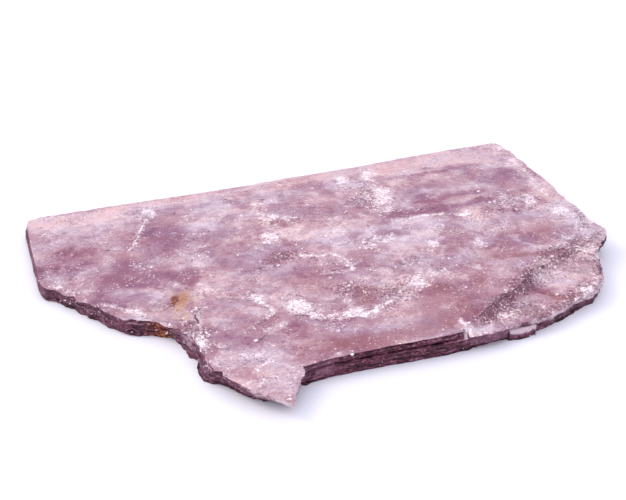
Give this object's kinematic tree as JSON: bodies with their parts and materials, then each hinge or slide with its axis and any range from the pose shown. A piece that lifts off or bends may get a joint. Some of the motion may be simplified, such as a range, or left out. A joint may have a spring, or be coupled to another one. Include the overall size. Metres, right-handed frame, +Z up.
{
  "type": "mica crystal",
  "caption": "Flat cleaved slab of lilac mica with laminated, ragged edges, a stepped corner terrace and a flat base to rest on.",
  "frame": {"origin": "middle of the bounding box at the flat base", "axes": "+X along the slab's long straight back edge towards its thick end, +Y towards that back edge, +Z up through the sheets"},
  "size_m": [0.073, 0.0522, 0.0034],
  "materials": {
    "lilac_mica": "pearly cleavage, frosted along the ledges"
  },
  "bodies": {
    "root": {"mica_crystal": "lilac_mica"}
  },
  "joints": []
}
